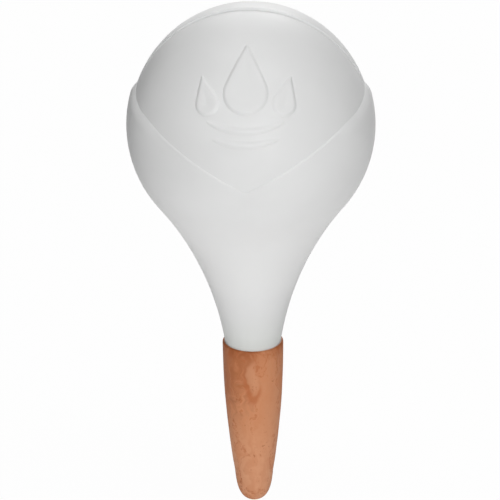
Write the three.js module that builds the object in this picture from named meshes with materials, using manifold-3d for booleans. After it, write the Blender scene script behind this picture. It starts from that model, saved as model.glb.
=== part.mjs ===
// A plant watering globe: a hollow plastic globe whose neck plugs into a porous clay spike.
// Millimetres, +Z up, front towards -Y.
// The origin is on the axis at the level of the spike's lip, which is the soil line.

import * as THREE from "three";
import { mergeVertices } from "three/addons/utils/BufferGeometryUtils.js";
import Module from "manifold-3d";

const wasm = await Module();
wasm.setup();

// Globe and neck
const globeRadius = 46;
const globeCentre = 87.8; // height of the globe's centre above the soil line
const flareRadius = 127; // concave sweep from the globe down to the neck
const neckRadius = 10.6; // neck where it enters the spike's lip
const globeWall = 1.4;

// Collar, the raised lower part of the globe: its edge dips in a V at the front and back
const collarThickness = 1.4; // how far the collar stands out from the dome above it
const collarDrop = 9.3; // lowest point of the V, below the globe's centre
const collarRise = 16.6; // height that the V's sides reach at the globe's full radius
const collarBow = 0.4; // how far each side of the V is arched
const collarRounding = 2.5; // length of edge that the V's rounded point takes
const peakHeight = 15.6; // peak of the edge at each side, above the globe's centre
const peakReach = 20; // how far the peak spreads towards the front and back

// Dome above the collar: the back half stands a little higher at the crown than the front
const crownLift = 0.8;
const partingSetback = 0.4; // how far the step between the halves lies behind the axis

// Plug under the neck
const plugInset = 2.3; // how much narrower the plug is than the neck
const plugLength = 20;
const plugChamfer = 0.8;
const plugWall = 1.2; // plastic behind the ring's groove
const shoulderLead = 0.6; // straight neck inside the lip, above its cone
const seatHeight = 2.6; // cone in the mouth of the socket, where the neck sits

// Seal ring
const ringSection = 1.6; // diameter of the rubber
const ringSetback = 8; // its middle above the plug's end

// Clay spike
const lipThickness = 0.6; // clay round the neck at the lip
const spikeLength = 67.6;
const spikeBelly = 0.5; // depth of the widest place below the lip
const barrelRadius = 360; // long curve of the spike's side
const noseLength = 12.5;
const noseFullness = 0.685;
const clayWall = 4;
const tipWall = 6;
const lipRound = 0.35;

// Clearances and mesh fineness
const fitGap = 0.3; // between neighbouring pieces
const slideGap = 0.6; // between the plug and its socket, which the ring bridges
const endGap = 1.5; // under the plug's end
const cutOver = 1; // how far a hollow's cutting body reaches past the face that it opens
const turnSegments = 56;
const spikeSegments = 40;

const plastic = new THREE.MeshStandardMaterial({ color: 0xe6e8e6, roughness: 0.42, metalness: 0 });
const rubber = new THREE.MeshStandardMaterial({ color: 0x2b2b2a, roughness: 0.7, metalness: 0 });
const clay = new THREE.MeshStandardMaterial({ color: 0xb9774f, roughness: 0.78, metalness: 0 });

function point(across, up) {
  return new THREE.Vector2(across, up);
}

function ellipseArc(centre, across, up, fromAngle, toAngle, steps) {
  const clockwise = toAngle < fromAngle;
  const curve = new THREE.EllipseCurve(centre.x, centre.y, across, up, fromAngle, toAngle, clockwise);
  return curve.getPoints(steps);
}

// A closed solid from a geometry, with the seams welded and flat triangles dropped
function solidFrom(geometry) {
  const bare = geometry.clone();
  bare.deleteAttribute("normal");
  bare.deleteAttribute("uv");
  const welded = mergeVertices(bare, 1e-4);
  const index = welded.index.array;
  const triangles = [];
  for (let corner = 0; corner < index.length; corner += 3) {
    const [a, b, c] = [index[corner], index[corner + 1], index[corner + 2]];
    if (a !== b && b !== c && c !== a) {
      triangles.push(a, b, c);
    }
  }
  const mesh = new wasm.Mesh({
    numProp: 3,
    vertProperties: Float32Array.from(welded.attributes.position.array),
    triVerts: Uint32Array.from(triangles),
  });
  return new wasm.Manifold(mesh);
}

// Profiles run from the lowest point on the axis round the outside to the highest
function revolve(profile, segments) {
  const geometry = new THREE.LatheGeometry(profile, segments);
  geometry.rotateX(Math.PI / 2);
  return solidFrom(geometry);
}

function nodeFrom(name, solid, material) {
  const result = solid.getMesh();
  const geometry = new THREE.BufferGeometry();
  geometry.setAttribute("position", new THREE.BufferAttribute(result.vertProperties, 3));
  geometry.setIndex(new THREE.BufferAttribute(result.triVerts, 1));
  geometry.computeVertexNormals();
  const mesh = new THREE.Mesh(geometry, material);
  mesh.name = name;
  return mesh;
}

// Centre of the flare: it touches the globe from outside and ends at the lip
const lipReach = Math.hypot(neckRadius, globeCentre);
const flareReach = globeRadius + flareRadius;
const alongLine = (lipReach ** 2 + flareReach ** 2 - flareRadius ** 2) / (2 * lipReach);
const besideLine = Math.sqrt(flareReach ** 2 - alongLine ** 2);
const flareCentre = point(
  (alongLine * neckRadius + besideLine * globeCentre) / lipReach,
  globeCentre + (besideLine * neckRadius - alongLine * globeCentre) / lipReach,
);
const joinAngle = Math.asin((globeCentre - flareCentre.y) / flareReach);
const lipAngle = Math.asin(-flareCentre.y / flareRadius);

// Side of the globe and neck, from the lip up to the top, moved in by an inset
function globeSide(inset, flareSteps, globeSteps) {
  const centre = point(0, globeCentre);
  const radius = globeRadius - inset;
  const sweep = flareRadius + inset;
  const flare = ellipseArc(flareCentre, sweep, sweep, Math.PI - lipAngle, Math.PI - joinAngle, flareSteps);
  const globe = ellipseArc(centre, radius, radius, -joinAngle, Math.PI / 2, globeSteps);
  globe[globeSteps].x = 0;
  return [...flare, ...globe.slice(1)];
}

// Egg that rises to a given height above the globe's centre
function egg(radius, height, steps) {
  const centre = point(0, globeCentre);
  const lower = ellipseArc(centre, radius, radius, -Math.PI / 2, 0, steps);
  const upper = ellipseArc(centre, radius, height, 0, Math.PI / 2, steps);
  lower[0].x = 0;
  upper[steps].x = 0;
  return revolve([...lower, ...upper.slice(1)], turnSegments);
}

// Dome of a round front half and a slightly taller back half
function dome(inset, steps) {
  const radius = globeRadius - collarThickness - inset;
  const front = egg(radius, radius, steps);
  const back = egg(radius, radius + crownLift, steps);
  const room = 2 * globeRadius;
  const behind = new THREE.BoxGeometry(2 * room, room, 2 * room);
  behind.translate(0, room / 2 + partingSetback + inset, globeCentre);
  return front.add(back.intersect(solidFrom(behind)));
}

// Slope of the V's sides
const collarSlope = (collarDrop + collarRise) / globeRadius;

// Ridge from side to side that lifts the collar's edge to a peak on the left and right
// Its feet are where the V crosses the dome, at the peak's reach
function collarRidge(margin, low) {
  const radius = globeRadius - collarThickness - margin;
  const rise = 1 + collarSlope ** 2;
  const spare = radius ** 2 - peakReach ** 2 - low ** 2;
  const across = (Math.sqrt((low * collarSlope) ** 2 + rise * spare) - low * collarSlope) / rise;
  const foot = low + collarSlope * across;
  const shape = new THREE.Shape();
  shape.moveTo(-peakReach, -globeRadius);
  shape.lineTo(peakReach, -globeRadius);
  shape.lineTo(peakReach, foot);
  shape.lineTo(0, peakHeight - margin);
  shape.lineTo(-peakReach, foot);
  shape.closePath();
  const room = 4 * globeRadius;
  const geometry = new THREE.ExtrudeGeometry(shape, { depth: room, bevelEnabled: false });
  geometry.rotateX(Math.PI / 2);
  geometry.rotateZ(Math.PI / 2);
  geometry.translate(-room / 2, partingSetback, globeCentre);
  return solidFrom(geometry);
}

// Block over the collar's edge, a V right through from front to back, lowered by a margin
function collarOpening(margin) {
  const lower = margin * Math.hypot(1, collarSlope);
  const low = -collarDrop - lower;
  const high = collarRise - lower;
  const bend = (low + high) / 2 + 2 * collarBow;
  const room = 2 * globeRadius;
  const run = collarRounding;
  const shape = new THREE.Shape();
  shape.moveTo(-globeRadius, room);
  shape.lineTo(-globeRadius, high);
  shape.quadraticCurveTo(-globeRadius / 2, bend, -run, low + collarSlope * run);
  shape.quadraticCurveTo(0, low, run, low + collarSlope * run);
  shape.quadraticCurveTo(globeRadius / 2, bend, globeRadius, high);
  shape.lineTo(globeRadius, room);
  shape.closePath();
  const geometry = new THREE.ExtrudeGeometry(shape, { depth: room, bevelEnabled: false, curveSegments: 6 });
  geometry.rotateX(Math.PI / 2);
  geometry.translate(0, room / 2, globeCentre);
  return solidFrom(geometry).subtract(collarRidge(margin, low));
}

// Socket in the clay, sized from the plug and neck
const plugRadius = neckRadius - plugInset;
const socketRadius = plugRadius + slideGap;
const socketDepth = plugLength + endGap;
const mouthRadius = neckRadius + fitGap;
const seatRun = mouthRadius - socketRadius;
const seatTop = -shoulderLead - (fitGap * (Math.hypot(seatRun, seatHeight) - seatHeight)) / seatRun;
const seatLow = seatTop - seatHeight;

// Globe, neck and plug
const grooveRadius = socketRadius - ringSection - 2 * fitGap;
const grooveHalf = ringSection / 2 + fitGap;
const boreRadius = grooveRadius - plugWall;
const ringDepth = plugLength - ringSetback;
const shoulderLow = -shoulderLead - (seatHeight * plugInset) / seatRun;
const plugSide = [
  point(0, -plugLength),
  point(plugRadius - plugChamfer, -plugLength),
  point(plugRadius, -plugLength + plugChamfer),
  point(plugRadius, -ringDepth - grooveHalf),
  point(grooveRadius, -ringDepth - grooveHalf),
  point(grooveRadius, -ringDepth + grooveHalf),
  point(plugRadius, -ringDepth + grooveHalf),
  point(plugRadius, shoulderLow),
  point(neckRadius, -shoulderLead),
];
const globeOutside = revolve([...plugSide, ...globeSide(0, 10, 22)], turnSegments)
  .subtract(collarOpening(0))
  .add(dome(0, 15));
const boreSide = [
  point(0, -plugLength - cutOver),
  point(boreRadius, -plugLength - cutOver),
  point(boreRadius, shoulderLow),
];
const globeInside = revolve([...boreSide, ...globeSide(globeWall, 8, 17)], turnSegments)
  .subtract(collarOpening(globeWall))
  .add(dome(globeWall, 12));
const globeShell = globeOutside.subtract(globeInside);

// Seal ring
const ringMiddle = grooveRadius + fitGap + ringSection / 2;
const ringGeometry = new THREE.TorusGeometry(ringMiddle, ringSection / 2, 10, spikeSegments);
ringGeometry.translate(0, 0, -ringDepth);

// Clay spike: a barrel curve that ends in a bluntly pointed nose
const spikeRadius = mouthRadius + lipThickness;

function barrelRadiusAt(depth) {
  const fall = depth - spikeBelly;
  return spikeRadius - barrelRadius + Math.sqrt(barrelRadius ** 2 - fall ** 2);
}

function barrel(fromDepth, toDepth, inset, steps) {
  const points = [];
  for (let step = 0; step <= steps; step += 1) {
    const depth = THREE.MathUtils.lerp(fromDepth, toDepth, step / steps);
    points.push(point(barrelRadiusAt(depth) - inset, -depth));
  }
  return points;
}

function nose(fromDepth, tipDepth, inset, steps) {
  const radius = barrelRadiusAt(fromDepth) - inset;
  const reach = (tipDepth - fromDepth) * noseFullness;
  const tuck = (reach * (fromDepth - spikeBelly)) / (2 * barrelRadius);
  const curve = new THREE.CubicBezierCurve(
    point(0, -tipDepth),
    point(radius * noseFullness, -tipDepth),
    point(radius - tuck, -fromDepth - reach),
    point(radius, -fromDepth),
  );
  return curve.getPoints(steps);
}

const noseTop = spikeLength - noseLength;
const lipOuter = barrelRadiusAt(lipRound);
const spikeSide = [
  ...nose(noseTop, spikeLength, 0, 8),
  ...barrel(noseTop, lipRound, 0, 9).slice(1),
  ...ellipseArc(point(lipOuter - lipRound, -lipRound), lipRound, lipRound, 0, Math.PI / 2, 3).slice(1),
];
const spikeOutside = revolve([...spikeSide, point(0, 0)], spikeSegments);
const chamberSide = [
  ...nose(noseTop - clayWall / 2, spikeLength - tipWall, clayWall, 6),
  ...barrel(noseTop - clayWall / 2, socketDepth, clayWall, 7).slice(1),
  point(socketRadius, -socketDepth),
  point(socketRadius, seatLow),
  point(mouthRadius, seatTop),
  point(mouthRadius, cutOver),
  point(0, cutOver),
];
const spikeShell = spikeOutside.subtract(revolve(chamberSide, spikeSegments));

const part = new THREE.Group();
part.name = "plant_watering_globe";
part.add(nodeFrom("reservoir_globe", globeShell, plastic));
part.add(nodeFrom("seal_ring", solidFrom(ringGeometry), rubber));
part.add(nodeFrom("clay_spike", spikeShell, clay));

export default part;
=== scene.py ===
import bpy
import math
import numpy as np
from mathutils import Euler, Matrix, Vector, noise


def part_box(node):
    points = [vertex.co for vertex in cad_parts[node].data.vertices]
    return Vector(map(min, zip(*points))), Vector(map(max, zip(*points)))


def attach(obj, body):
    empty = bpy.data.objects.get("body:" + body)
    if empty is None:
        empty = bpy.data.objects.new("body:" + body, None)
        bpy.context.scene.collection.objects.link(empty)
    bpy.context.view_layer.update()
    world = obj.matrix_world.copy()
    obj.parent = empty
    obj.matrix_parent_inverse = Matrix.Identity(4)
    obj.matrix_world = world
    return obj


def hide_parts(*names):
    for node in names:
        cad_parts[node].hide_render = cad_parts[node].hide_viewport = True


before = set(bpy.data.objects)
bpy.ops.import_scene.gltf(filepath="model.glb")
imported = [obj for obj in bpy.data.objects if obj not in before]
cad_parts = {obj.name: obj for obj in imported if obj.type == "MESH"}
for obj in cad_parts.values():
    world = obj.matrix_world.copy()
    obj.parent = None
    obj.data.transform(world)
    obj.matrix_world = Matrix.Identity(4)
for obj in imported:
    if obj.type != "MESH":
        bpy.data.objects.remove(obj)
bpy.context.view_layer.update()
mm = 0.001
tiny = 1e-6
mergeDistance = 1e-7
print("frame loaded:", ", ".join(sorted(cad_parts)))


# Small helpers for shapes: sizes are in millimetres, meshes in metres

def ease(value):
    part = np.clip(value, 0, 1)
    return part * part * (3 - 2 * part)


def arcPoints(centre, radius, fromDegrees, toDegrees, steps):
    angles = np.radians(np.linspace(fromDegrees, toDegrees, steps + 1))
    return [(centre[0] + radius * math.cos(a), centre[1] + radius * math.sin(a)) for a in angles]


def linePoints(start, end, steps):
    start, end = np.array(start), np.array(end)
    return [tuple(start + (end - start) * k / steps) for k in range(1, steps + 1)]


def clearSelection():
    if bpy.context.object and bpy.context.object.mode != "OBJECT":
        bpy.ops.object.mode_set(mode="OBJECT")
    bpy.ops.object.select_all(action="DESELECT")


def spinPiece(name, profile, columns):
    # a profile drawn point by point beside the axis, then spun round it
    clearSelection()
    start = (profile[0][0] * mm, 0, profile[0][1] * mm)
    bpy.ops.mesh.primitive_plane_add(size=mm, location=start)
    piece = bpy.context.object
    piece.name = piece.data.name = name
    bpy.ops.object.transform_apply(location=True, rotation=False, scale=False)
    bpy.ops.object.mode_set(mode="EDIT")
    bpy.ops.mesh.merge(type="CENTER")
    for before, after in zip(profile, profile[1:]):
        move = ((after[0] - before[0]) * mm, 0, (after[1] - before[1]) * mm)
        bpy.ops.mesh.extrude_region_move(TRANSFORM_OT_translate={"value": move})
    bpy.ops.mesh.select_all(action="SELECT")
    bpy.ops.mesh.spin(steps=columns, angle=2 * math.pi, center=(0, 0, 0), axis=(0, 0, 1))
    bpy.ops.mesh.select_all(action="SELECT")
    bpy.ops.mesh.remove_doubles(threshold=mergeDistance)
    bpy.ops.mesh.normals_make_consistent(inside=False)
    bpy.ops.object.mode_set(mode="OBJECT")
    return piece


def readPoints(piece):
    flat = np.empty(3 * len(piece.data.vertices))
    piece.data.vertices.foreach_get("co", flat)
    return flat.reshape(-1, 3) / mm


def writePoints(piece, points):
    piece.data.vertices.foreach_set("co", (points * mm).ravel())
    piece.data.update()


def refine(piece, chosen, cuts):
    # subdivides the faces whose centres are chosen
    centres = np.empty(3 * len(piece.data.polygons))
    piece.data.polygons.foreach_get("center", centres)
    picked = chosen(centres.reshape(-1, 3) / mm)
    bpy.context.tool_settings.mesh_select_mode = (False, False, True)
    piece.data.vertices.foreach_set("select", np.zeros(len(piece.data.vertices), bool))
    piece.data.edges.foreach_set("select", np.zeros(len(piece.data.edges), bool))
    piece.data.polygons.foreach_set("select", picked)
    bpy.ops.object.mode_set(mode="EDIT")
    bpy.ops.mesh.subdivide(number_cuts=cuts, smoothness=0)
    bpy.ops.object.mode_set(mode="OBJECT")
    bpy.context.tool_settings.mesh_select_mode = (True, False, False)


def smoothPiece(piece, angle):
    clearSelection()
    piece.select_set(True)
    bpy.context.view_layer.objects.active = piece
    bpy.ops.object.shade_smooth_by_angle(angle=math.radians(angle))


# Shader sheets: Wire makes sums of sockets, Sheet makes every other node

class Wire:
    def __init__(self, sheet, socket):
        self.sheet = sheet
        self.socket = socket

    def maths(self, operation, first, second):
        return self.sheet.node("Math", {"operation": operation}, {0: first, 1: second})

    def __add__(self, other):
        return self.maths("ADD", self, other)

    def __radd__(self, other):
        return self.maths("ADD", other, self)

    def __sub__(self, other):
        return self.maths("SUBTRACT", self, other)

    def __rsub__(self, other):
        return self.maths("SUBTRACT", other, self)

    def __mul__(self, other):
        return self.maths("MULTIPLY", self, other)

    def __rmul__(self, other):
        return self.maths("MULTIPLY", other, self)


class Sheet:
    def __init__(self, owner):
        owner.use_nodes = True
        self.owner = owner
        self.tree = owner.node_tree
        self.tree.nodes.clear()

    def node(self, kind, settings=None, sockets=None, out=0):
        made = self.tree.nodes.new("ShaderNode" + kind)
        for key, value in (settings or {}).items():
            setattr(made, key, value)
        for key, value in (sockets or {}).items():
            if isinstance(value, Wire):
                self.tree.links.new(value.socket, made.inputs[key])
            else:
                made.inputs[key].default_value = value
        return Wire(self, made.outputs[out]) if made.outputs else made

    def place(self):
        return self.node("TexCoord", out="Object")

    def stretched(self, place, scale):
        return self.node("Mapping", None, {"Vector": place, "Scale": scale})

    def pushed(self, place, shift, amount):
        settings = {"operation": "MULTIPLY_ADD"}
        return self.node("VectorMath", settings, {0: shift, 1: amount, 2: place})

    def cloud(self, place, scale, detail=3, rough=0.55, out=0):
        sockets = {"Vector": place, "Scale": scale, "Detail": detail, "Roughness": rough}
        return self.node("TexNoise", None, sockets, out)

    def between(self, value, low, high):
        settings = {"interpolation_type": "SMOOTHSTEP"}
        return self.node("MapRange", settings, {"Value": value, "From Min": low, "From Max": high})

    def window(self, value, rise, fall):
        return self.between(value, *rise) * (1 - self.between(value, *fall))

    def blend(self, factor, first, second):
        return self.node("Mix", {"data_type": "RGBA"}, {0: factor, 6: first, 7: second}, out=2)

    def along(self, axis, place):
        return self.node("SeparateXYZ", None, {0: place}, out=axis)

    def bump(self, relief, depth):
        return self.node("Bump", None, {"Height": relief, "Distance": depth, "Strength": 1.0})

    def seenRays(self):
        # 1 where the camera, a reflection or a view through something meets the surface
        looks = ("Is Camera Ray", "Is Glossy Ray", "Is Transmission Ray")
        direct, mirrored, through = [self.node("LightPath", out=look) for look in looks]
        either = self.node("Math", {"operation": "MAXIMUM"}, {0: direct, 1: mirrored})
        return self.node("Math", {"operation": "MAXIMUM"}, {0: either, 1: through})

    def surface(self, sockets):
        skin = self.node("BsdfPrincipled", None, sockets)
        self.node("OutputMaterial", None, {"Surface": skin})
        return self.owner


def newSheet(name):
    return Sheet(bpy.data.materials.new(name))


def rgb(red, green, blue):
    return (red, green, blue, 1.0)


# Reservoir globe: one blown shell with a raised collar, a flared neck and a plug

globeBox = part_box("reservoir_globe")
globe = {
    "radius": globeBox[1].x / mm,
    "centre": 87.8,
    "flare": 127,
    "neck": 10.6,
    "wall": 1.4,
    "collarThickness": 1.4,
    "collarRoll": 4.0,       # width over which the collar's edge rounds off at the sides
    "rollPower": 1.8,
    "rollFrom": 0.62,        # sine of the turn from which the sides' rounding takes over
    "rollBlend": 0.3,
    "lineWidth": 0.9,        # crisp line along the V, in front of a slow swell
    "lineShare": 0.27,
    "lineLean": 0.15,        # how much crisper the line is on the right
    "swellWidth": 14.0,
    "collarDrop": 9.3,       # point of the V below the centre
    "collarSlope": 0.563,
    "pointRound": 0.5,
    "peakHeight": 15.6,      # collar's peak at each side
    "peakSlope": 0.2,
    "peakFrom": 54,          # turn from the front, in degrees, where the V gives way to the peak
    "peakBlend": 12,
    "crownLift": 0.8,        # back half above the front half at the crown
    "partingSetback": 0.4,
    "stepWidth": 0.5,
    "seamDepth": 0.3,
    "seamWidth": 0.26,
    "seamFade": 0.3,
    "plug": 8.3,
    "plugEnd": globeBox[0].z / mm,
    "plugChamfer": 0.8,
    "groove": 6.7,
    "grooveTop": -10.9,
    "grooveLow": -13.1,
    "grooveRound": 0.25,
    "shoulderLow": -3.59,
    "shoulderTop": -0.6,
    "bore": 5.5,
    "columns": 248,
    "edgeRow": 2.0,          # elevation, in degrees, of the row that becomes the collar's edge
    "edgeCalm": 6.0,         # degrees beside that row which move as far as it does
    "rowsBelow": (5.6, 4.7, 4.0, 3.4, 2.8, 2.25, 1.75, 1.3, 0.9, 0.55, 0.25, 0.08),
    "rowsAbove": (0, 0.1, 0.3, 0.6, 1.0, 1.6),
    "crowdSpan": 9.0,        # degrees beside the front, back and sides where columns crowd
    "crowdPower": 1.7,
    "slopeNudge": 0.002,     # turn, in radians, over which the edge's slope is taken
    "crownReach": 8.0,       # finer faces within this distance of the axis, along the parting line
    "crownHalf": 1.0,
    "crownCuts": 3,
    "seamHalf": 0.55,        # finer faces this far each side of the line further out
    "seamCuts": 2,
    "smoothAngle": 24,
}
globe["dome"] = globe["radius"] - globe["collarThickness"]
globe["shellMiddle"] = globe["radius"] - globe["wall"] / 2

# rows along each stretch of the globe's profile
globeRows = {
    "face": 3,
    "wall": 4,
    "round": 4,
    "chamfer": 8,
    "shoulder": 5,
    "lip": 2,
    "flare": 32,
    "collar": 16,
    "dome": 90,
    "inside": 28,
    "insideFlare": 12,
}

motif = {
    "elevation": 36.4,       # middle of the moulded motif on the dome, in degrees
    "halfWidth": 20.5,       # patch of finer faces under the motif
    "halfHeight": 22.2,
    "edgeGap": 2.5,          # degrees of plain faces left above the collar's edge
    "cuts": 2,
    "reach": 45,             # no relief further than this from the middle, in degrees
    "height": 0.7,
    "edge": 1.3,
    "dish": 0.28,
    "dishStart": 1.8,
    "dishEnd": 5.5,
    "tipRound": 0.5,
    # drops as across, up, bulb radius, bulb to tip, lean in degrees
    "drops": [(0, 0, 8.2, 19, 0), (-14, -3.5, 4.6, 10.5, -12), (14, -3.5, 4.6, 10.5, 12)],
    "rippleCentre": 14.0,
    "ripples": [28.0, 33.0],
    "rippleHalf": 1.5,
    "rippleReach": [31.0, 22.0],
    "rippleHeight": 0.6,
    "rippleSlope": 1.3,
}


def flareLayout():
    # centre of the concave sweep that touches the globe and ends at the lip
    lipReach = math.hypot(globe["neck"], globe["centre"])
    sweepReach = globe["radius"] + globe["flare"]
    along = (lipReach ** 2 + sweepReach ** 2 - globe["flare"] ** 2) / (2 * lipReach)
    beside = math.sqrt(sweepReach ** 2 - along ** 2)
    across = (along * globe["neck"] + beside * globe["centre"]) / lipReach
    up = globe["centre"] + (beside * globe["neck"] - along * globe["centre"]) / lipReach
    join = math.degrees(math.asin((globe["centre"] - up) / sweepReach))
    lip = math.degrees(math.asin(-up / globe["flare"]))
    return (across, up), join, lip


def plugPoints():
    # from the bore's end up the outside of the plug, its groove and shoulder to the lip
    plug, end, chamfer = globe["plug"], globe["plugEnd"], globe["plugChamfer"]
    groove, low, top = globe["groove"], globe["grooveLow"], globe["grooveTop"]
    bend, rows = globe["grooveRound"], globeRows
    points = [(globe["bore"], end)]
    points += linePoints(points[-1], (plug - chamfer, end), rows["face"])
    points += arcPoints((plug - chamfer, end + chamfer), chamfer, -90, 0, rows["chamfer"])[1:]
    points += linePoints(points[-1], (plug, low - bend), rows["wall"])
    points += arcPoints((plug - bend, low - bend), bend, 0, 90, rows["round"])[1:]
    points += linePoints(points[-1], (groove, low), rows["face"])
    points += linePoints(points[-1], (groove, top), rows["wall"])
    points += linePoints(points[-1], (plug - bend, top), rows["face"])
    points += arcPoints((plug - bend, top + bend), bend, -90, 0, rows["round"])[1:]
    points += linePoints(points[-1], (plug, globe["shoulderLow"]), rows["shoulder"])
    points += linePoints(points[-1], (globe["neck"], globe["shoulderTop"]), rows["shoulder"])
    points += linePoints(points[-1], (globe["neck"], 0), rows["lip"])
    return points


def globeProfile(join, flareCentre, lip):
    centre, rows, edgeRow = (0, globe["centre"]), globeRows, globe["edgeRow"]
    points = plugPoints()
    points += arcPoints(flareCentre, globe["flare"], 180 - lip, 180 - join, rows["flare"])[1:]
    perMillimetre = math.degrees(1 / globe["radius"])
    below = [edgeRow - distance * perMillimetre for distance in globe["rowsBelow"]]
    above = [edgeRow + distance * perMillimetre for distance in globe["rowsAbove"]]
    collar = list(np.linspace(-join, below[0], rows["collar"]))[1:-1]
    dome = list(np.linspace(above[-1], 90, rows["dome"]))[1:-1]
    for elevation in collar + below + above + dome:
        points += arcPoints(centre, globe["radius"], elevation, elevation, 0)
    points.append((0, globe["centre"] + globe["radius"]))
    inner = globe["radius"] - globe["wall"]
    outside = globe["flare"] + globe["wall"]
    points.append((0, globe["centre"] + inner))
    points += arcPoints(centre, inner, 90, -join, rows["inside"])[1:]
    points += arcPoints(flareCentre, outside, 180 - join, 180 - lip, rows["insideFlare"])[1:]
    points += linePoints(points[-1], (globe["bore"], globe["shoulderLow"]), rows["face"])
    points += linePoints(points[-1], points[0], rows["wall"])
    return points


def edgeElevation(azimuth):
    # where the collar's edge lies on the dome: a V that is lifted to a peak at each side
    across = np.abs(np.sin(azimuth))
    forward = np.abs(np.cos(azimuth))
    dome = globe["dome"]
    slant = globe["collarSlope"] * np.sqrt(across ** 2 + (globe["pointRound"] / dome) ** 2)
    side = np.arctan(slant) - np.arcsin(globe["collarDrop"] / dome / np.sqrt(1 + slant ** 2))
    roof = globe["peakSlope"] * forward
    peak = np.arcsin(globe["peakHeight"] / dome / np.sqrt(1 + roof ** 2)) - np.arctan(roof)
    turned = np.degrees(np.arctan2(across, forward))
    share = ease((turned - globe["peakFrom"]) / globe["peakBlend"])
    return side * (1 - share) + peak * share


def crowd(azimuth):
    # moves columns closer to the front, back and sides, where the shape is finest
    quarter = np.round(azimuth / (math.pi / 2)) * (math.pi / 2)
    off = azimuth - quarter
    span = math.radians(globe["crowdSpan"])
    near = np.abs(off) < span
    drawn = np.sign(off) * span * (np.abs(off) / span) ** globe["crowdPower"]
    return quarter + np.where(near, drawn, off)


def slideRows(elevation, azimuth, join):
    # slides the rows up and down so that one of them follows the collar's edge
    row = math.radians(globe["edgeRow"])
    calm = math.radians(globe["edgeCalm"])
    shift = edgeElevation(azimuth) - row
    lower = ease((elevation + math.radians(join)) / (row - calm + math.radians(join)))
    upper = ease((math.pi / 2 - elevation) / (math.pi / 2 - row - calm))
    return elevation + shift * np.where(elevation < row, lower, upper)


def dropDistance(across, up, bulb, reach, lean):
    # distance to a drop outline: a round bulb and straight sides up to a small round tip
    turn = math.radians(lean)
    sideways = np.abs(across * math.cos(turn) - up * math.sin(turn))
    along = across * math.sin(turn) + up * math.cos(turn)
    tip = motif["tipRound"]
    slope = (bulb - tip) / reach
    flat = math.sqrt(1 - slope ** 2)
    climb = along * flat - sideways * slope
    onBulb = np.hypot(sideways, along) - bulb
    onTip = np.hypot(sideways, along - reach) - tip
    onSide = sideways * flat + along * slope - bulb
    return np.where(climb < 0, onBulb, np.where(climb > flat * reach, onTip, onSide))


def motifRelief(direction):
    # height of the moulded motif for unit directions from the globe's centre
    tilt = math.radians(motif["elevation"])
    facing = np.array([0, -math.cos(tilt), math.sin(tilt)])
    upward = np.array([0, math.sin(tilt), math.cos(tilt)])
    spread = np.arccos(np.clip(direction @ facing, -1, 1))
    unrolled = np.where(spread > tiny, spread / np.maximum(np.sin(spread), tiny), 1)
    across = direction[:, 0] * globe["dome"] * unrolled
    up = direction @ upward * globe["dome"] * unrolled
    relief = np.zeros(len(direction))
    for x, z, bulb, reach, lean in motif["drops"]:
        depth = -dropDistance(across - x, up - z, bulb, reach, lean)
        rise = 1 - (1 - np.clip(depth / motif["edge"], 0, 1)) ** 2
        dish = ease((depth - motif["dishStart"]) / (motif["dishEnd"] - motif["dishStart"]))
        relief = np.maximum(relief, motif["height"] * rise - motif["dish"] * dish)
    fromCentre = np.hypot(across, up - motif["rippleCentre"])
    around = np.degrees(np.arctan2(np.abs(across), motif["rippleCentre"] - up))
    for radius, reach in zip(motif["ripples"], motif["rippleReach"]):
        taper = np.sqrt(np.clip(1 - (around / reach) ** 2, tiny, 1))
        depth = 1 - np.abs(fromCentre - radius) / (motif["rippleHalf"] * taper)
        rise = ease(depth * motif["rippleSlope"])
        relief = np.maximum(relief, motif["rippleHeight"] * rise * taper)
    return np.where(spread < math.radians(motif["reach"]), relief, 0)


def shellRadius(azimuth, elevation):
    # outside radius of the shell, and how far below the collar's edge each point lies
    dome, nudge = globe["dome"], globe["slopeNudge"]
    edge = edgeElevation(azimuth)
    climb = edgeElevation(azimuth + nudge) - edgeElevation(azimuth - nudge)
    slope = climb / (2 * nudge) / np.cos(edge)
    below = (edge - elevation) * globe["radius"] / np.sqrt(1 + slope ** 2)
    y = -dome * np.cos(elevation) * np.cos(azimuth) - globe["partingSetback"]
    tall = dome + globe["crownLift"]
    backDome = dome * tall / np.hypot(tall * np.cos(elevation), dome * np.sin(elevation))
    back = np.where(elevation > 0, backDome, dome)
    upper = dome + (back - dome) * ease(y / globe["stepWidth"])
    seam = np.exp(-(y / globe["seamWidth"]) ** 2) * ease(elevation / globe["seamFade"])
    upper -= globe["seamDepth"] * seam
    beside = ease((np.abs(np.sin(azimuth)) - globe["rollFrom"]) / globe["rollBlend"])
    full = 1 - (1 - np.clip(below / globe["collarRoll"], 0, 1)) ** globe["rollPower"]
    crisp = 1 - (1 - np.clip(below / globe["lineWidth"], 0, 1)) ** 2
    share = globe["lineShare"] + globe["lineLean"] * np.sin(azimuth)
    facing = share * crisp + (1 - share) * ease(below / globe["swellWidth"])
    lower = dome + globe["collarThickness"] * (facing + (full - facing) * beside)
    return np.where(below > 0, lower, upper), below


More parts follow.
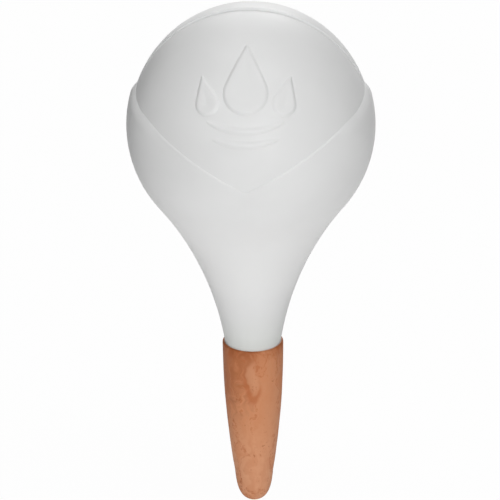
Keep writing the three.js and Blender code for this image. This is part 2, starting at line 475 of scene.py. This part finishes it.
def makeGlobe():
    flareCentre, join, lip = flareLayout()
    piece = spinPiece("ReservoirGlobe", globeProfile(join, flareCentre, lip), globe["columns"])
    centre = np.array([0, 0, globe["centre"]])

    def polar(points):
        offset = points - centre
        reach = np.linalg.norm(offset, axis=1)
        azimuth = np.arctan2(offset[:, 0], -offset[:, 1])
        elevation = np.arcsin(np.clip(offset[:, 2] / np.maximum(reach, tiny), -1, 1))
        return azimuth, elevation, reach

    def direction(azimuth, elevation):
        flat = np.cos(elevation)
        return np.stack([flat * np.sin(azimuth), -flat * np.cos(azimuth), np.sin(elevation)], axis=1)

    def aboveNeck(elevation):
        return (elevation > -math.radians(join) - tiny)[:, None]

    # rows and columns first, on the plain globe
    points = readPoints(piece)
    width = np.hypot(points[:, 0], points[:, 1])
    azimuth = crowd(np.arctan2(points[:, 0], -points[:, 1]))
    points[:, 0] = width * np.sin(azimuth)
    points[:, 1] = -width * np.cos(azimuth)
    azimuth, elevation, reach = polar(points)
    slid = slideRows(elevation, azimuth, join)
    moved = centre + direction(azimuth, slid) * reach[:, None]
    writePoints(piece, np.where(aboveNeck(elevation), moved, points))

    # finer faces where the motif and the parting line go
    def underMotif(centres):
        turn, rise, far = polar(centres)
        tilt = math.radians(motif["elevation"])
        wide = np.abs(turn) * np.cos(rise) * globe["dome"] < motif["halfWidth"]
        tall = np.abs(rise - tilt) * globe["dome"] < motif["halfHeight"]
        clear = rise > edgeElevation(turn) + math.radians(motif["edgeGap"])
        return wide & tall & clear & (far > globe["shellMiddle"])

    def alongCrown(centres):
        rise, far = polar(centres)[1:]
        near = np.hypot(centres[:, 0], centres[:, 1]) < globe["crownReach"]
        beside = np.abs(centres[:, 1] - globe["partingSetback"]) < globe["crownHalf"]
        return near & beside & (far > globe["shellMiddle"]) & (rise > 0)

    def alongSeam(centres):
        turn, rise, far = polar(centres)
        past = np.hypot(centres[:, 0], centres[:, 1]) > globe["crownReach"]
        beside = np.abs(centres[:, 1] - globe["partingSetback"]) < globe["seamHalf"]
        clear = rise > edgeElevation(turn)
        return past & beside & clear & (far > globe["shellMiddle"])

    refine(piece, underMotif, motif["cuts"])
    refine(piece, alongCrown, globe["crownCuts"])
    refine(piece, alongSeam, globe["seamCuts"])

    # then the collar, dome, crown and motif
    points = readPoints(piece)
    azimuth, elevation, reach = polar(points)
    radius, below = shellRadius(azimuth, elevation)
    away = direction(azimuth, elevation)
    relief = np.where((below < 0) & (points[:, 1] < 0), motifRelief(away), 0)
    radius = np.where(reach > globe["shellMiddle"], radius + relief, radius - globe["wall"])
    shaped = centre + away * radius[:, None]
    writePoints(piece, np.where(aboveNeck(elevation), shaped, points))
    smoothPiece(piece, globe["smoothAngle"])
    return piece


# Clay spike: one slip-cast shell with a socket and a water chamber

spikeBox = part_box("clay_spike")
spike = {
    "radius": spikeBox[1].x / mm,
    "length": -spikeBox[0].z / mm,
    "belly": 0.5,
    "barrel": 360,
    "noseLength": 12.5,
    "noseFullness": 0.685,
    "lipRound": 0.75,
    "mouthRound": 0.08,
    "mouth": 10.62,
    "socket": 8.9,
    "seatTop": -0.71,
    "seatLow": -3.31,
    "socketDepth": 21.5,
    "wall": 4,
    "tipWall": 6,
    "columns": 200,
    "waver": 0.07,           # slow unevenness of the casting, each way
    "waverScale": Vector((0.11, 0.11, 0.045)),
    "dents": 0.035,
    "dentScale": Vector((0.42, 0.42, 0.16)),
    "dentShift": Vector((0, 0, 7)),
    "calmDepth": 0.4,        # the lip stays true down to here
    "calmOver": 3,
    "roughInset": 2.8,       # how far inside the mouth's radius the uneven skin may lie
    "roughOver": 25,         # depth over which it gets there
    "smoothAngle": 30,
}

# rows along each stretch of the spike's profile
spikeRows = {
    "nose": 26,
    "barrel": 70,
    "lip": 6,
    "mouth": 4,
    "collar": 2,
    "seat": 4,
    "socket": 6,
    "chamber": 10,
    "chamberNose": 8,
}


def barrelRadius(depth):
    fall = depth - spike["belly"]
    return spike["radius"] - spike["barrel"] + math.sqrt(spike["barrel"] ** 2 - fall ** 2)


def nosePoints(fromDepth, tipDepth, inset, steps):
    radius = barrelRadius(fromDepth) - inset
    full = spike["noseFullness"]
    reach = (tipDepth - fromDepth) * full
    tuck = reach * (fromDepth - spike["belly"]) / (2 * spike["barrel"])
    tip = [(0, -tipDepth), (radius * full, -tipDepth)]
    side = [(radius - tuck, -fromDepth - reach), (radius, -fromDepth)]
    guides = np.array(tip + side)
    points = []
    for t in np.linspace(0, 1, steps + 1):
        weights = np.array([(1 - t) ** 3, 3 * t * (1 - t) ** 2, 3 * t * t * (1 - t), t ** 3])
        points.append(tuple(weights @ guides))
    return points


def barrelPoints(fromDepth, toDepth, inset, steps):
    depths = np.linspace(fromDepth, toDepth, steps + 1)
    return [(barrelRadius(depth) - inset, -depth) for depth in depths]


def spikeProfile():
    rows, wall, length = spikeRows, spike["wall"], spike["length"]
    top = length - spike["noseLength"]
    lip, bend = spike["lipRound"], spike["mouthRound"]
    points = nosePoints(top, length, 0, rows["nose"])
    points += barrelPoints(top, lip, 0, rows["barrel"])[1:]
    points += arcPoints((barrelRadius(lip) - lip, -lip), lip, 0, 90, rows["lip"])[1:]
    points += arcPoints((spike["mouth"] + bend, -bend), bend, 90, 180, rows["mouth"])
    points += linePoints(points[-1], (spike["mouth"], spike["seatTop"]), rows["collar"])
    points += linePoints(points[-1], (spike["socket"], spike["seatLow"]), rows["seat"])
    points += linePoints(points[-1], (spike["socket"], -spike["socketDepth"]), rows["socket"])
    low = top - wall / 2
    points += barrelPoints(spike["socketDepth"], low, wall, rows["chamber"])
    chamberTip = length - spike["tipWall"]
    points += nosePoints(low, chamberTip, wall, rows["chamberNose"])[::-1][1:]
    return points


def makeSpike():
    piece = spinPiece("ClaySpike", spikeProfile(), spike["columns"])
    points = readPoints(piece)
    for index, point in enumerate(points):
        width = math.hypot(point[0], point[1])
        depth = -point[2]
        inset = spike["roughInset"] * ease(depth / spike["roughOver"])
        if width < max(spike["mouth"] - inset, barrelRadius(depth) - spike["wall"] / 2):
            continue
        slow = noise.noise(Vector(point) * spike["waverScale"])
        quick = noise.noise(Vector(point) * spike["dentScale"] + spike["dentShift"])
        inward = spike["waver"] * slow + spike["dents"] * quick
        calm = ease((depth - spike["calmDepth"]) / spike["calmOver"])
        points[index, :2] *= 1 - inward * calm / width
    writePoints(piece, points)
    smoothPiece(piece, spike["smoothAngle"])
    return piece


# Seal ring in the plug's groove

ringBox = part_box("seal_ring")
ring = {
    "section": (ringBox[1].z - ringBox[0].z) / 2 / mm,
    "outer": ringBox[1].x / mm,
    "middle": (ringBox[1].z + ringBox[0].z) / 2 / mm,
    "flash": 0.05,           # fine line left by the mould at the ring's waist
    "flashWidth": 0.12,
    "segments": 160,
    "sectionSegments": 28,
    "smoothAngle": 40,
}


def makeRing():
    clearSelection()
    section = ring["section"]
    core = ring["outer"] - section
    bpy.ops.mesh.primitive_torus_add(
        major_radius=core * mm, minor_radius=(section - ring["flash"]) * mm,
        major_segments=ring["segments"], minor_segments=ring["sectionSegments"],
        location=(0, 0, ring["middle"] * mm))
    piece = bpy.context.object
    piece.name = piece.data.name = "SealRing"
    bpy.ops.object.transform_apply(location=True, rotation=False, scale=False)
    points = readPoints(piece)
    width = np.hypot(points[:, 0], points[:, 1])
    level = np.abs(points[:, 2] - ring["middle"])
    waist = np.exp(-(level / ring["flashWidth"]) ** 2) * np.sign(width - core)
    points[:, :2] *= (1 + ring["flash"] * waist / width)[:, None]
    writePoints(piece, points)
    smoothPiece(piece, ring["smoothAngle"])
    return piece


# Finishes: lengths in shaders are in metres

plastic = {
    "light": (0.80, 0.803, 0.80),
    "dull": (0.785, 0.788, 0.785),
    # lighter on the flared neck: painted light, for the brighter light the flare shows
    "flare": (0.835, 0.838, 0.835),
    # darker, faintly green, towards the clay: painted shade with a green tint
    "neck": (0.745, 0.76, 0.74),
    # darker still just above the clay's lip: painted shade where the plastic meets the clay
    "foot": (0.66, 0.675, 0.655),
    "mottleScale": 45,
    "mottleRange": (0.35, 0.65),
    "grainScale": 2600,
    "rippleScale": 160,
    "neckShadeRange": (0.0, 0.020),
    "footRange": (0.0, 0.007),
    "footShare": 0.5,
    "flareLightRise": (0.014, 0.032),
    "flareLightFall": (0.046, 0.066),
    "bump": 0.00008,
}


def frostedPlastic():
    sheet = newSheet("FrostedPlastic")
    place = sheet.place()
    slow = sheet.between(sheet.cloud(place, plastic["mottleScale"], 2), *plastic["mottleRange"])
    grain = sheet.cloud(place, plastic["grainScale"], 2)
    ripple = sheet.cloud(place, plastic["rippleScale"], 2)
    height = sheet.along("Z", place)
    # painted shade: the plastic darkens towards the clay over the lowest 20 mm
    neck = 1 - sheet.between(height, *plastic["neckShadeRange"])
    # painted shade: darkest over the lowest 7 mm, where the plastic meets the clay's lip
    foot = 1 - sheet.between(height, *plastic["footRange"])
    # painted light: the flared neck is given a lighter colour
    flare = sheet.window(height, plastic["flareLightRise"], plastic["flareLightFall"])
    colour = sheet.blend(slow, rgb(*plastic["light"]), rgb(*plastic["dull"]))
    colour = sheet.blend(flare, colour, rgb(*plastic["flare"]))
    colour = sheet.blend(neck, colour, rgb(*plastic["neck"]))
    colour = sheet.blend(foot * plastic["footShare"], colour, rgb(*plastic["foot"]))
    return sheet.surface({
        "Base Color": colour,
        "Roughness": 0.40 + 0.08 * slow + 0.05 * grain,
        "Normal": sheet.bump(grain * 0.12 + ripple * 0.5, plastic["bump"]),
        "IOR": 1.5,
        "Specular IOR Level": 0.3,
    })


clay = {
    "light": (0.672, 0.298, 0.150),
    "deep": (0.590, 0.205, 0.080),
    # dark colour for the clay near the lip; its further reach on the left is painted shade
    "lipDark": (0.360, 0.098, 0.026),
    "lowerTone": (0.770, 0.385, 0.220),
    "lighterPatch": (0.750, 0.365, 0.200),
    "rim": (0.490, 0.135, 0.042),
    # colour of the pale line on the lip, a painted highlight
    "lipHighlight": (0.80, 0.69, 0.63),
    "fleck": (0.38, 0.095, 0.028),
    "driftScale": 140,       # noise that bends the film, the streaks and the rinsed patch
    "bend": (0.010, 0.010, 0.008),
    "sway": (0.004, 0, 0.006),
    "filmScale": 100,
    "filmStretch": (1, 1, 0.22),
    "filmInside": (0.44, 0.60),
    "filmEdge": 0.505,
    "marginWidth": (0.002, 0.024),
    "marginBreak": (0.34, 0.58),
    "streakScale": 330,
    "streakStretch": (1, 1, 0.09),
    "streakRange": (0.36, 0.64),
    "fineScale": 1900,
    "gritScale": 1150,
    "gritStretch": (1, 1, 0.8),
    "pitScale": 172,         # patches where the clay has pores
    "pitStretch": (1, 1, 0.6),
    "pitRange": (0.50, 0.64),
    "poreRange": (0.60, 0.66),
    "darkReach": 0.027,     # how far the darker band reaches down from the lip
    "leftShadeLean": 1.2,        # painted shade: how much further the darkening reaches on the left
    "darkStreak": 0.05,
    "darkFilm": 0.06,
    "nearLipDepth": (0.0006, 0.0052),
    "nearLipStreak": (0.30, 0.62),
    "rightSheenRise": (-0.001, 0.004),   # painted light: a lighter band right of the front, where the darkening is weaker
    "rightSheenFall": (0.0075, 0.0105),
    "lowerToneRange": (0.022, 0.058),     # depth over which the clay gets paler further down
    "lowerToneFilm": 0.03,
    "front": (-0.006, -0.002),
    "lighterPatchAcross": 0.0002,  # middle of the paler patch under the lip, at the front
    "lighterPatchDepth": 0.0112,
    "lighterPatchHalf": (0.0023, 0.0066),
    "lighterPatchFade": (0.15, 1.35),
    "rimRise": (0.8, 1.4),
    "rimFall": (1.5, 3.2),
    "rimLean": 0.3,
    "rimSide": (-0.1, 0.8),
    "highlightDepth": (0.00004, 0.00009),
    "highlightRadius": (0.0108, 0.01095),  # radius out to which the lip has a pale line, a painted highlight
    "bump": 0.0002,
}


def terracotta():
    sheet = newSheet("Terracotta")
    place = sheet.place()
    drift = sheet.cloud(place, clay["driftScale"], 2, 0.5, out=1)
    middle = (0.5, 0.5, 0.5)
    shift = sheet.node("VectorMath", {"operation": "SUBTRACT"}, {0: drift, 1: middle})
    bent = sheet.pushed(place, shift, clay["bend"])
    film = sheet.cloud(sheet.stretched(bent, clay["filmStretch"]), clay["filmScale"], 4, 0.58)
    streak = sheet.cloud(sheet.stretched(bent, clay["streakStretch"]), clay["streakScale"])
    fine = sheet.cloud(place, clay["fineScale"])
    grit = sheet.cloud(sheet.stretched(place, clay["gritStretch"]), clay["gritScale"], 2, 0.5)
    pits = sheet.cloud(sheet.stretched(place, clay["pitStretch"]), clay["pitScale"], 2)
    depth = 0 - sheet.along("Z", place)
    across = sheet.along("X", place)
    # dried film: deeper orange inside, with a broken dark margin
    inside = sheet.between(film, *clay["filmInside"])
    edge = sheet.node("Math", {"operation": "ABSOLUTE"}, {0: film - clay["filmEdge"]})
    margin = 1 - sheet.between(edge, *clay["marginWidth"])
    margin = margin * sheet.between(grit, *clay["marginBreak"])
    pores = sheet.between(grit, *clay["poreRange"]) * sheet.between(pits, *clay["pitRange"])
    # darker towards the lip; it reaches further down on the left, which is painted shade, and a band
    # right of the front is left lighter, which is painted light
    reach = depth + across * clay["leftShadeLean"]
    reach = reach + (streak - 0.5) * clay["darkStreak"] + (film - 0.5) * clay["darkFilm"]
    darkFade = sheet.between(reach, 0.0, clay["darkReach"])
    nearLip = 1 - sheet.between(depth, *clay["nearLipDepth"])
    nearLip = nearLip * sheet.between(streak, *clay["nearLipStreak"])
    # painted light: a band right of the front, lit like a sheen, where the darkening is weaker
    rightSheen = sheet.window(across, clay["rightSheenRise"], clay["rightSheenFall"])
    # paler patch under the lip at the front, with a dark rim under it
    halfAcross, halfDown = clay["lighterPatchHalf"]
    front = 1 - sheet.between(sheet.along("Y", place), *clay["front"])
    wavy = sheet.pushed(place, shift, clay["sway"])
    sideways = (sheet.along("X", wavy) - clay["lighterPatchAcross"]) * (1 / halfAcross)
    downward = (0 - sheet.along("Z", wavy) - clay["lighterPatchDepth"]) * (1 / halfDown)
    oval = sideways * sideways + downward * downward
    lighterPatch = front * (1 - sheet.between(oval, *clay["lighterPatchFade"]))
    rim = front * sheet.window(oval, clay["rimRise"], clay["rimFall"])
    rim = rim * sheet.between(downward - sideways * clay["rimLean"], *clay["rimSide"])
    # lip, with a pale line where the plastic sits: a painted highlight
    level = sheet.stretched(place, (1, 1, 0))
    radius = sheet.node("VectorMath", {"operation": "LENGTH"}, {0: level}, out="Value")
    lip = 1 - sheet.between(depth, *clay["highlightDepth"])
    lip = lip * (1 - sheet.between(radius, *clay["highlightRadius"]))
    lowerTone = sheet.between(depth + (film - 0.5) * clay["lowerToneFilm"], *clay["lowerToneRange"])
    # layers from the bottom up: where, how much, which colour
    layers = [
        (lowerTone, 0.85, "lowerTone"),
        (sheet.between(streak, *clay["streakRange"]), 0.30, "deep"),
        (inside, 0.40, "deep"),
        # darker near the lip, with painted shade on the left and painted light right of the front
        (1 - darkFade, 0.62 - 0.46 * rightSheen, "lipDark"),
        (lighterPatch, 0.5, "lighterPatch"),
        (rim, 0.6, "rim"),
        # darkest just under the lip, weaker in the painted light right of the front
        (nearLip, 0.78 - 0.36 * rightSheen, "lipDark"),
        (margin, 0.5, "rim"),
        (pores, 0.55, "fleck"),
        # painted highlight: a pale line on the lip
        (lip, 0.6, "lipHighlight"),
    ]
    colour = rgb(*clay["light"])
    for mask, share, name in layers:
        colour = sheet.blend(mask * share, colour, rgb(*clay[name]))
    relief = streak * 0.3 + fine * 0.12 - pores * 0.08 + inside * 0.2
    return sheet.surface({
        "Base Color": colour,
        "Roughness": 0.52 + 0.14 * fine + 0.12 * inside,
        "Normal": sheet.bump(relief, clay["bump"]),
        "IOR": 1.48,
        "Specular IOR Level": 0.24,
    })


rubber = {
    "black": (0.022, 0.022, 0.021),
    "bloomed": (0.034, 0.034, 0.033),
    "bloomScale": 500,
    "bloomRange": (0.4, 0.7),
    "grainScale": 4000,
    "bump": 0.00003,
}


def blackRubber():
    sheet = newSheet("BlackRubber")
    place = sheet.place()
    bloom = sheet.between(sheet.cloud(place, rubber["bloomScale"]), *rubber["bloomRange"])
    grain = sheet.cloud(place, rubber["grainScale"], 2)
    return sheet.surface({
        "Base Color": sheet.blend(bloom, rgb(*rubber["black"]), rgb(*rubber["bloomed"])),
        "Roughness": 0.55 + 0.15 * bloom,
        "Normal": sheet.bump(grain, rubber["bump"]),
    })


def dress(piece, finish, body, node):
    piece.data.materials.clear()
    piece.data.materials.append(finish)
    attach(piece, body)
    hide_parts(node)
    print("made", piece.name, "with", len(piece.data.polygons), "faces")


dress(makeGlobe(), frostedPlastic(), "globe", "reservoir_globe")
dress(makeSpike(), terracotta(), "spike", "clay_spike")
dress(makeRing(), blackRubber(), "seal", "seal_ring")


# Floor, light and camera

studio = {
    "floorGap": 0.2,         # floor under the spike's tip
    "floorSize": 40.0,
    "floorTone": 0.9,
    "floorGlow": 0.97,       # share of plain white that the floor shows
    "worldLight": 0.02,
}
lamps = {
    # place in metres, width and length in metres, power in watts
    "FrontLamp": ((0.05, -1.29, 0.28), (0.9, 0.5), 9.9),
    "TopLamp": ((0.09, -0.04, 1.2), (0.4, 1.6), 7.7),
    "BackLamp": ((0.02, 1.15, 0.84), (0.9, 0.9), 8.0),
}
flag = {
    # ends and height of the card, in millimetres
    "near": (-130.0, 60.0),
    "far": (-420.0, 900.0),
    "top": 180.0,
    "tone": 0.02,
}
photo = {
    "distance": 1.3005,      # camera to the globe's centre, in metres
    "elevation": 21.91,
    "azimuth": 2.9,
    "pitch": 23.955,
    "roll": -0.55,
    "pan": 0.037,
    "lens": 253.82,
    "sensor": 36.0,
    "clipEnd": 100,
}


def makeFloor():
    clearSelection()
    level = (-spike["length"] - studio["floorGap"]) * mm
    bpy.ops.mesh.primitive_plane_add(size=studio["floorSize"], location=(0, 0, level))
    floor = bpy.context.object
    floor.name = "Floor"
    sheet = newSheet("PaleFloor")
    seen = sheet.seenRays()
    matt = sheet.node("BsdfDiffuse", None, {"Color": rgb(*[studio["floorTone"]] * 3)})
    white = sheet.node("Emission", None, {"Color": rgb(1, 1, 1), "Strength": 1.0})
    mixed = sheet.node("MixShader", None, {0: seen * studio["floorGlow"], 1: matt, 2: white})
    sheet.node("OutputMaterial", None, {"Surface": mixed})
    floor.data.materials.append(sheet.owner)


def makeFlag():
    # dark card beside the floor, seen only in the globe's left edge
    clearSelection()
    bpy.ops.mesh.primitive_plane_add(size=1)
    card = bpy.context.object
    card.name = "SideFlag"
    low = -spike["length"]
    (nearX, nearY), (farX, farY), top = flag["near"], flag["far"], flag["top"]
    corners = [(nearX, nearY, low), (farX, farY, low), (nearX, nearY, top), (farX, farY, top)]
    writePoints(card, np.array(corners))
    sheet = newSheet("DarkCard")
    matt = sheet.node("BsdfDiffuse", None, {"Color": rgb(*[flag["tone"]] * 3)})
    sheet.node("OutputMaterial", None, {"Surface": matt})
    card.data.materials.append(sheet.owner)
    card.visible_camera = False
    card.visible_shadow = False


def makeLight():
    world = bpy.data.worlds.new("Studio")
    bpy.context.scene.world = world
    sheet = Sheet(world)
    strength = studio["worldLight"] + (1 - studio["worldLight"]) * sheet.seenRays()
    sky = sheet.node("Background", None, {"Color": rgb(1, 1, 1), "Strength": strength})
    sheet.node("OutputWorld", None, {"Surface": sky})
    target = Vector((0, 0, globe["centre"] * mm))
    for name, (place, (width, length), power) in lamps.items():
        clearSelection()
        bpy.ops.object.light_add(type="AREA", location=place)
        lamp = bpy.context.object
        lamp.name = name
        lamp.data.shape = "RECTANGLE"
        lamp.data.size = width
        lamp.data.size_y = length
        lamp.data.energy = power
        lamp.visible_camera = False
        lamp.rotation_euler = (target - Vector(place)).to_track_quat("-Z", "Y").to_euler()


def makeCamera():
    clearSelection()
    rise, turn = math.radians(photo["elevation"]), math.radians(photo["azimuth"])
    flat = math.cos(rise)
    back = Vector((math.sin(turn) * flat, -math.cos(turn) * flat, math.sin(rise)))
    place = Vector((0, 0, globe["centre"] * mm)) + back * photo["distance"]
    tilt, pan = math.radians(90 - photo["pitch"]), math.radians(photo["pan"])
    aim = Euler((tilt, 0, turn + pan)).to_matrix()
    aim = aim @ Matrix.Rotation(math.radians(photo["roll"]), 3, "Z")
    bpy.ops.object.camera_add(location=place, rotation=aim.to_euler())
    camera = bpy.context.object
    camera.name = "PhotoCamera"
    camera.data.lens = photo["lens"]
    camera.data.sensor_width = photo["sensor"]
    camera.data.clip_end = photo["clipEnd"]
    bpy.context.scene.camera = camera


makeFloor()
makeFlag()
makeLight()
makeCamera()
bpy.context.scene.view_settings.view_transform = "Standard"
print("studio ready")
